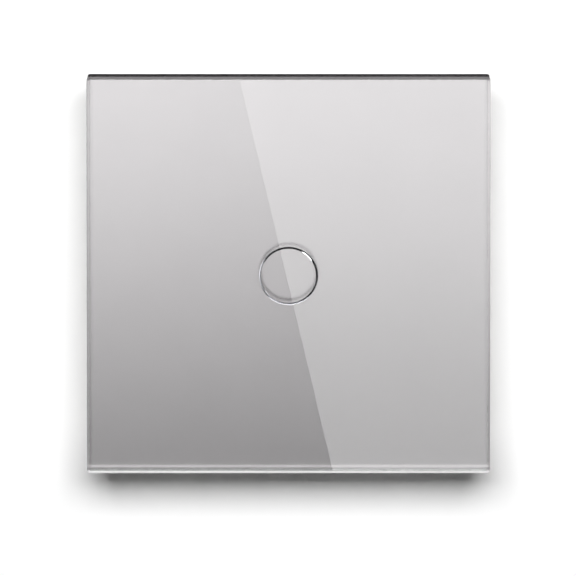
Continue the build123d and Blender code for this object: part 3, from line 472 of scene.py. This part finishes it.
# Glass-fibre board under green solder mask: tracks stand out lighter and slightly raised, through tinned
# pads, and the sawn edge shows the bare laminate. Tracks run along x in some patches and along z in the
# others.
def maskedBoard(s):
    material, tree, shader, place = startMaterial("maskedBoard", IOR=s["ior"])
    axes = addNode(tree, "ShaderNodeSeparateXYZ", {0: place}).outputs
    lines = []
    for axis in ("X", "Z"):
        wave = addNode(tree, "ShaderNodeMath", {
            0: axes[axis], 1: s["trackPitch"] / 2 * mm}, operation="PINGPONG")
        lines.append(addNode(tree, "ShaderNodeMapRange", {
            "Value": wave.outputs[0], "From Min": (s["trackWidth"] / 2 + s["trackSoft"]) * mm,
            "From Max": (s["trackWidth"] / 2 - s["trackSoft"]) * mm}).outputs[0])
    patch = addNode(tree, "ShaderNodeTexVoronoi", {
        "Vector": place, "Scale": 1000 / s["patch"]}, distance="MANHATTAN")
    draw = addNode(tree, "ShaderNodeSeparateColor", {0: patch.outputs["Color"]}).outputs
    turned = addNode(tree, "ShaderNodeMath", {0: draw[0], 1: 0.5}, operation="GREATER_THAN")
    present = addNode(tree, "ShaderNodeMath", {0: draw[1], 1: s["trackShare"]}, operation="LESS_THAN")
    along = addNode(tree, "ShaderNodeMix", {0: turned.outputs[0], 2: lines[0], 3: lines[1]})
    track = addNode(tree, "ShaderNodeMath", {
        0: along.outputs[0], 1: present.outputs[0]}, operation="MULTIPLY")
    flat = addNode(tree, "ShaderNodeCombineXYZ", {"X": axes["X"], "Y": axes["Z"]})
    grid = addNode(tree, "ShaderNodeTexVoronoi", {
        "Vector": flat.outputs[0], "Scale": 1000 / s["padPitch"], "Randomness": 0.0},
        voronoi_dimensions="2D")
    chance = addNode(tree, "ShaderNodeSeparateColor", {0: grid.outputs["Color"]})
    chosen = addNode(tree, "ShaderNodeMath", {
        0: chance.outputs[0], 1: 1 - s["padShare"]}, operation="GREATER_THAN")
    near = addNode(tree, "ShaderNodeMath", {
        0: grid.outputs[0], 1: s["padRadius"] / s["padPitch"]}, operation="LESS_THAN")
    pad = addNode(tree, "ShaderNodeMath", {0: chosen.outputs[0], 1: near.outputs[0]}, operation="MULTIPLY")
    normal = addNode(tree, "ShaderNodeNewGeometry").outputs["Normal"]
    facing = addNode(tree, "ShaderNodeSeparateXYZ", {0: normal})
    squareOn = addNode(tree, "ShaderNodeMath", {0: facing.outputs["Y"]}, operation="ABSOLUTE")
    onFace = addNode(tree, "ShaderNodeMath", {0: squareOn.outputs[0], 1: 0.5}, operation="GREATER_THAN")
    tinned = addNode(tree, "ShaderNodeMath", {
        0: pad.outputs[0], 1: onFace.outputs[0]}, operation="MULTIPLY")
    green = addNode(tree, "ShaderNodeMix", {
        0: track.outputs[0], 6: hexToLinear(s["mask"]), 7: hexToLinear(s["overCopper"])}, data_type="RGBA")
    cut = addNode(tree, "ShaderNodeMix", {
        0: onFace.outputs[0], 6: hexToLinear(s["edge"]), 7: green.outputs[2]}, data_type="RGBA")
    colour = addNode(tree, "ShaderNodeMix", {
        0: tinned.outputs[0], 6: cut.outputs[2], 7: hexToLinear(s["tin"])}, data_type="RGBA")
    weave = addNode(tree, "ShaderNodeTexNoise", {"Vector": place, "Scale": 1000 / s["weave"]})
    smooth, rough = s["roughness"]
    gloss = addNode(tree, "ShaderNodeMapRange", {
        "Value": weave.outputs[0], "To Min": smooth, "To Max": rough})
    raised = addNode(tree, "ShaderNodeMath", {
        0: track.outputs[0], 1: tinned.outputs[0]}, operation="MAXIMUM")
    bump = addNode(tree, "ShaderNodeBump", {"Height": raised.outputs[0], "Distance": s["copper"] * mm})
    for name, socket in (
        ("Base Color", colour.outputs[2]), ("Metallic", tinned.outputs[0]), ("Roughness", gloss.outputs[0]),
        ("Normal", bump.outputs[0]),
    ):
        tree.links.new(socket, shader.inputs[name])
    return material


# Filled and dipped coatings. Grain is the size in millimetres and the depth of the lumps or filler specks,
# and spread is how far the tone varies.
coatings = {
    "chip_epoxy": {
        "name": "mouldedEpoxy", "colour": "#1b1b1c", "roughness": 0.55,
        "grain": (0.12, 0.006), "spread": 0.35},
    "led_resin": {
        "name": "phosphorResin", "colour": "#e9dd92", "roughness": 0.2,
        "grain": (0.1, 0.004), "spread": 0.12},
    "varistor_coating": {
        "name": "dippedEpoxy", "colour": "#17448f", "roughness": 0.3,
        "grain": (1.6, 0.12), "spread": 0.16},
    "ferrite": {
        "name": "sinteredFerrite", "colour": "#2a2a2d", "roughness": 0.6,
        "grain": (0.18, 0.02), "spread": 0.4},
    "capacitor_ceramic": {
        "name": "firedCeramic", "colour": "#a4825c", "roughness": 0.42,
        "grain": (0.2, 0.006), "spread": 0.15},
}
coatedSkin = {
    "ior": 1.55,
    "glossSpread": 0.08,
}
noiseMiddle = (0.3, 0.7)  # a noise lies mostly between these


# filled resin, dip coat or fired body: specks or soft lumps that break up the gloss
def coatedBody(s):
    material, tree, shader, place = startMaterial(s["name"], IOR=coatedSkin["ior"])
    width, depth = s["grain"]
    rough, spread = s["roughness"], coatedSkin["glossSpread"]
    grain = addNode(tree, "ShaderNodeTexNoise", {
        "Vector": place, "Scale": 1000 / width, "Detail": 3.0}).outputs[0]
    dress(shader, s["colour"], (grain, 1 - s["spread"], 1 + s["spread"]),
          (grain, rough - spread, rough + spread), (grain, depth), noiseMiddle)
    return material


winding = {
    "colour": "#a8572b",
    "wire": 0.3,             # the relay's own wire is far finer and is drawn as coarse as the choke's
    "turnLength": 9.0,       # how far one tone runs along a turn
    "tone": (0.7, 1.2),
    "roughness": (0.22, 0.4),
    "metallic": 0.85,
    "lacquer": 0.6,
    "lacquerRoughness": 0.12,
}


# enamelled copper wire, wound: red-brown lacquer with a metal gleam, a little different from turn to turn
def enamelledWire(s):
    material, tree, shader, place = startMaterial(
        "enamelledWire", Metallic=s["metallic"], Coat_Weight=s["lacquer"],
        Coat_Roughness=s["lacquerRoughness"])
    along, across = 1000 / s["turnLength"], 1000 / s["wire"]
    lay = addNode(tree, "ShaderNodeMapping", {"Vector": place, "Scale": (along, across, along)})
    turn = addNode(tree, "ShaderNodeTexNoise", {
        "Vector": lay.outputs[0], "Scale": 1.0, "Detail": 1.0}).outputs[0]
    # both windings lie round an axis along y; a wave texture's bands are about 0.314 of its unit apart
    rounds = addNode(tree, "ShaderNodeTexWave", {
        "Vector": place, "Scale": 314 / s["wire"]}, bands_direction="Y")
    dress(shader, s["colour"], (turn, *s["tone"]), (turn, *s["roughness"]),
          (rounds.outputs[1], s["wire"] / 2), noiseMiddle)
    return material


sleeve = {
    "colour": "#15151d",
    "stripe": "#a9adb3",
    "stripeFrom": 0.72,      # how far out the stripe starts, as a share of the can's radius
    "ripple": 2.2,
    "rippleDepth": 0.03,
    "tone": (0.9, 1.1),
    "roughness": 0.25,
    "ior": 1.53,
}


# shrunk vinyl sleeve on a capacitor can: glossy and dark, with the pale stripe that marks the minus side
def shrunkSleeve(node, s):
    low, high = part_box(node)
    stripeEdge = (low.x + high.x) / 2 - (high.x - low.x) / 2 * s["stripeFrom"]
    material, tree, shader, place = startMaterial("shrunkVinyl", Roughness=s["roughness"], IOR=s["ior"])
    across = addNode(tree, "ShaderNodeSeparateXYZ", {0: place}).outputs["X"]
    striped = addNode(tree, "ShaderNodeMath", {0: across, 1: stripeEdge}, operation="LESS_THAN")
    colour = addNode(tree, "ShaderNodeMix", {
        0: striped.outputs[0], 6: hexToLinear(s["colour"]), 7: hexToLinear(s["stripe"])}, data_type="RGBA")
    ripple = addNode(tree, "ShaderNodeTexNoise", {
        "Vector": place, "Scale": 1000 / s["ripple"], "Detail": 2.0}).outputs[0]
    dress(shader, colour.outputs[2], (ripple, *s["tone"]), None, (ripple, s["rippleDepth"]))
    return material


cement = {
    "colour": "#4f7f5c",
    # colour bands, from and to as shares of the body's length
    "bands": (
        (0.2, 0.28, "#5a2f16"), (0.38, 0.46, "#17171a"), (0.56, 0.64, "#17171a"), (0.78, 0.86, "#b08a3a")),
    "grit": 0.25,
    "gritDepth": 0.015,
    "tone": (0.88, 1.12),
    "roughness": 0.5,
    "ior": 1.55,
}


# cement-coated resistor: a dull green coat with painted colour bands round the body, which lies along x
def bandedResistor(node, s):
    low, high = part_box(node)
    material, tree, shader, place = startMaterial("cementResistor", Roughness=s["roughness"], IOR=s["ior"])
    across = addNode(tree, "ShaderNodeSeparateXYZ", {0: place}).outputs["X"]
    share = addNode(tree, "ShaderNodeMapRange", {"Value": across, "From Min": low.x, "From Max": high.x})
    paint = addNode(tree, "ShaderNodeValToRGB", {0: share.outputs[0]})
    paint.color_ramp.interpolation = "CONSTANT"
    stops = paint.color_ramp.elements
    stops.remove(stops[1])
    stops[0].color = hexToLinear(s["colour"])
    for start, end, tint in s["bands"]:
        stops.new(start).color = hexToLinear(tint)
        stops.new(end).color = hexToLinear(s["colour"])
    grit = addNode(tree, "ShaderNodeTexNoise", {
        "Vector": place, "Scale": 1000 / s["grit"], "Detail": 2.0}).outputs[0]
    dress(shader, paint.outputs[0], (grit, *s["tone"]), None, (grit, s["gritDepth"]))
    return material


# the finish of each material slot, given to every part of the frame that names it
finishes = {
    "silver_print": ink,
    "zinc_plate": galvanisedSheet(zincSheet),
    "tape": foamTape(foam),
    "light_guide": opalAcrylic(opal),
    "board_laminate": maskedBoard(boardFinish),
    "enamelled_copper": enamelledWire(winding),
    "can_sleeve": shrunkSleeve("electrolytic_capacitor", sleeve),
    "resistor_coating": bandedResistor("fusible_resistor", cement),
}
for recipes, make in ((mouldings, mouldedPlastic), (strips, rolledMetal), (coatings, coatedBody)):
    finishes.update({slotName: make(recipe) for slotName, recipe in recipes.items()})
for part in frame["record"]["subparts"]:
    if part["material_slot"] in finishes:
        surface = frame["nodes"][part["node"]].data.materials
        surface.clear()
        surface.append(finishes[part["material_slot"]])
print("materials made:", len(finishes))

wallSettings = {
    "colour": "#fdfdfd",
    "roughness": 0.9,
    "size": 6000,
    "opening": 70,         # the mounting plate covers it from the front, and from behind it bares the plate
    "behind": 0.04,        # distance behind the face that the object rests on
}


# one flat square of wall round a square opening, with the object's middle at its centre
def makeWall(s):
    square = np.array([[-0.5, 0, -0.5], [0.5, 0, -0.5], [0.5, 0, 0.5], [-0.5, 0, 0.5]])
    points = (np.concatenate([square * s["size"], square * s["opening"]]) + [0, s["behind"], 0]) * mm
    mesh = bpy.data.meshes.new("wall")
    mesh.from_pydata(points.tolist(), [], [[i, (i + 1) % 4, (i + 1) % 4 + 4, i + 4] for i in range(4)])
    paint, tree, shader = startMaterial(
        "wallPaint", Base_Color=hexToLinear(s["colour"]), Roughness=s["roughness"])[:3]
    # from behind, the wall lets the part that sits inside it be seen and lit
    seeThrough(shader, addNode(tree, "ShaderNodeNewGeometry").outputs["Backfacing"], "#ffffff")
    mesh.materials.append(paint)
    wall = bpy.data.objects.new("wall", mesh)
    bpy.context.scene.collection.objects.link(wall)


makeWall(wallSettings)

worldSettings = {
    "colour": "#ffffff",
    "dim": 0.03,           # the room in front of the wall, as diffuse and mirrored light
    "throughGlass": 0.32,  # what the print behind the glass mirrors of the room, off the cards
    "behindFrom": 0.05,    # directions with a greater y than this point behind the wall
}


# The camera sees white all round. So do metal and glass that face away from the wall's room, while what
# they mirror on the room's side is dim, like the studio round a product shot.
def makeWorld(s):
    world = bpy.data.worlds.new("studio")
    bpy.context.scene.world = world
    world.use_nodes = True
    tree = world.node_tree
    tree.nodes.clear()
    path = addNode(tree, "ShaderNodeLightPath").outputs
    direction = addNode(tree, "ShaderNodeTexCoord").outputs["Generated"]
    behind = addNode(tree, "ShaderNodeMath", {
        0: addNode(tree, "ShaderNodeSeparateXYZ", {0: direction}).outputs["Y"], 1: s["behindFrom"]},
        operation="GREATER_THAN")
    mirrored = addNode(tree, "ShaderNodeMath", {
        0: path["Is Glossy Ray"], 1: path["Is Transmission Ray"]}, operation="MAXIMUM")
    white = addNode(tree, "ShaderNodeMath", {
        0: mirrored.outputs[0], 1: behind.outputs[0]}, operation="MULTIPLY")
    white = addNode(tree, "ShaderNodeMath", {
        0: path["Is Camera Ray"], 1: white.outputs[0]}, operation="MAXIMUM")
    strength = addNode(tree, "ShaderNodeMapRange", {
        "Value": white.outputs[0], "To Min": s["dim"], "To Max": 1.0})
    printed = addNode(tree, "ShaderNodeMath", {
        0: path["Is Transmission Ray"], 1: s["throughGlass"]}, operation="MULTIPLY")
    strength = addNode(tree, "ShaderNodeMath", {
        0: strength.outputs[0], 1: printed.outputs[0]}, operation="MAXIMUM")
    sky = addNode(tree, "ShaderNodeBackground", {
        "Color": hexToLinear(s["colour"]), "Strength": strength.outputs[0]})
    addNode(tree, "ShaderNodeOutputWorld", {"Surface": sky.outputs[0]})


makeWorld(worldSettings)

# Panel lamps: where each stands, the point it is aimed at, its width and height, and its power in watts
lamps = {
    "keySoftbox": {
        "place": (0, -900, 542), "aim": (0, 0, -240), "size": (1200, 592), "power": 17.6, "mirrored": True},
    # the steel plate mirrors the white room instead of this one
    "rearSoftbox": {
        "place": (-200, 500, 300), "aim": (0, 10, 0), "size": (400, 400), "power": 4.0, "mirrored": False},
}


# a soft panel lamp aimed at a point; what it lights sees it as a rectangle
def addLamp(name, s):
    data = bpy.data.lights.new(name, "AREA")
    data.shape = "RECTANGLE"
    data.size, data.size_y = [length * mm for length in s["size"]]
    data.energy = s["power"]
    lamp = bpy.data.objects.new(name, data)
    bpy.context.scene.collection.objects.link(lamp)
    lamp.location = Vector(s["place"]) * mm
    lamp.rotation_euler = (Vector(s["aim"]) * mm - lamp.location).to_track_quat("-Z", "Z").to_euler()
    lamp.visible_camera = False
    lamp.visible_transmission = False
    lamp.visible_glossy = s["mirrored"]


for name, lamp in lamps.items():
    addLamp(name, lamp)

camera = {
    "azimuth": 0.0,
    "elevation": 11.0,
    "distance": 4000,
    "viewWidth": 114.2,      # width of the picture at the object
    "centre": (0, -9, 0),
    "offset": (-0.1, -2.8),  # right and up, so that the object sits where the photograph has it
    "sensorWidth": 36,
    "farthest": 100000,
}


# one strength at all heights
def steady(strength):
    return (0, strength), (1, strength)


# corners given as x and z at one distance in front of the wall
def upright(distance, *corners):
    return [(x, -distance, z) for x, z in corners]


# Corners of a card that the ring's wall mirrors between two angles round the ring, clockwise from its top.
# The view arrives along the camera's direction, the wall's normal tilts outwards by its slope and a spread
# either way, and the mirrored direction is the view less twice its share along that normal.
def mirroredBy(angles, spread=5, reach=160):
    elevation = math.radians(camera["elevation"])
    view = np.array([0, math.cos(elevation), -math.sin(elevation)])
    flatter, steeper = [math.radians(glassPanel["ringTilt"] + side * spread) for side in (-1, 1)]
    first, last = [math.radians(angle) for angle in angles]
    corners = []
    for lean, turn in ((flatter, first), (flatter, last), (steeper, last), (steeper, first)):
        out = np.array([math.sin(turn), 0, math.cos(turn)])
        normal = math.sin(lean) * out - np.array([0, math.cos(lean), 0])
        start = out * glassPanel["ringDiameter"] / 2 + np.array([0, frontFace, 0])
        corners.append(tuple(start + reach * (view - 2 * view.dot(normal) * normal)))
    return corners


# Cards that only reflections see. Each has its corners, the heights and strengths that its glow runs
# between, and whether the face of the glass mirrors it or the print behind the glass does.
cards = {
    # what the silver print mirrors: a pale card that darkens downwards and to the right
    "glowCard": {
        "corners": upright(300, (-330, -150), (130, -150), (130, 50), (-330, 50)),
        "glow": ((-98, 0.18), (-18, 1.2)), "across": ((-40, 1.13), (10, 0.965)),
        "onFace": False, "onPrint": True},
    # what the face of the glass mirrors, 10 mm nearer: a bright card with a slanted edge
    "glareCard": {
        "corners": upright(290, (-13.1, 0), (15.0, -120), (600, -120), (600, 0)),
        "glow": ((-98, 3.7), (-18, 1.65)), "onFace": True, "onPrint": False},
    # black along the wall above the panel, so that its polished top edge reads dark
    "edgeStrip": {
        "corners": upright(0.02, (-70, 40.2), (70, 40.2), (70, 90), (-70, 90)),
        "glow": steady(0.0), "onFace": True, "onPrint": True},
    # small lights that draw the bright arcs of the chrome ring; the last is seen low in the ring after
    # three bounces in its cut, from the wall to the rim and back
    "ringLight1": {
        "corners": mirroredBy((30, 56)),
        "glow": steady(7.0), "onFace": True, "onPrint": False},
    "ringLight2": {
        "corners": mirroredBy((278, 300)),
        "glow": steady(0.8), "onFace": True, "onPrint": False},
    "ringLight3": {
        "corners": upright(300, (35, 25), (75, 25), (75, 75), (35, 75)),
        "glow": steady(1.9), "onFace": True, "onPrint": False},
}


# a flat card whose glow runs evenly over its height, times a factor that runs from one x to another
def addCard(name, s):
    points = np.array(s["corners"]) * mm
    mesh = bpy.data.meshes.new(name)
    mesh.from_pydata(points.tolist(), [], [list(range(len(points)))])
    card = bpy.data.objects.new(name, mesh)
    bpy.context.scene.collection.objects.link(card)
    material = bpy.data.materials.new(name)
    material.use_nodes = True
    tree = material.node_tree
    tree.nodes.clear()
    place = addNode(tree, "ShaderNodeTexCoord").outputs["Object"]
    axes = addNode(tree, "ShaderNodeSeparateXYZ", {0: place}).outputs
    across = s.get("across", steady(1.0))
    parts = []
    for axis, ((start, startValue), (end, endValue)) in (("Z", s["glow"]), ("X", across)):
        parts.append(addNode(tree, "ShaderNodeMapRange", {
            "Value": axes[axis], "From Min": start * mm, "From Max": end * mm,
            "To Min": startValue, "To Max": endValue}).outputs[0])
    strength = addNode(tree, "ShaderNodeMath", {0: parts[0], 1: parts[1]}, operation="MULTIPLY")
    light = addNode(tree, "ShaderNodeEmission", {
        "Color": hexToLinear("#ffffff"), "Strength": strength.outputs[0]})
    addNode(tree, "ShaderNodeOutputMaterial", {"Surface": light.outputs[0]})
    mesh.materials.append(material)
    card.visible_camera = card.visible_diffuse = card.visible_shadow = False
    card.visible_glossy, card.visible_transmission = s["onFace"], s["onPrint"]


for name, card in cards.items():
    addCard(name, card)
print("studio made:", len(lamps), "lamps,", len(cards), "cards")


# the camera looks at the object's middle from its direction, moved in its own plane by the offset
def placeCamera(c):
    az, el = math.radians(c["azimuth"]), math.radians(c["elevation"])
    towards = Vector((math.sin(az) * math.cos(el), -math.cos(az) * math.cos(el), math.sin(el)))
    right = Vector((math.cos(az), math.sin(az), 0))
    up = right.cross(-towards)
    aim = Vector(c["centre"]) * mm + (right * c["offset"][0] + up * c["offset"][1]) * mm
    data = bpy.data.cameras.new("camera")
    data.sensor_width = c["sensorWidth"]
    data.lens = c["sensorWidth"] * c["distance"] / c["viewWidth"]
    data.clip_end = c["farthest"] * mm
    cam = bpy.data.objects.new("camera", data)
    bpy.context.scene.collection.objects.link(cam)
    cam.location = aim + towards * c["distance"] * mm
    cam.rotation_euler = (-towards).to_track_quat("-Z", "Y").to_euler()
    bpy.context.scene.camera = cam


placeCamera(camera)
bpy.context.scene.view_settings.view_transform = "Standard"
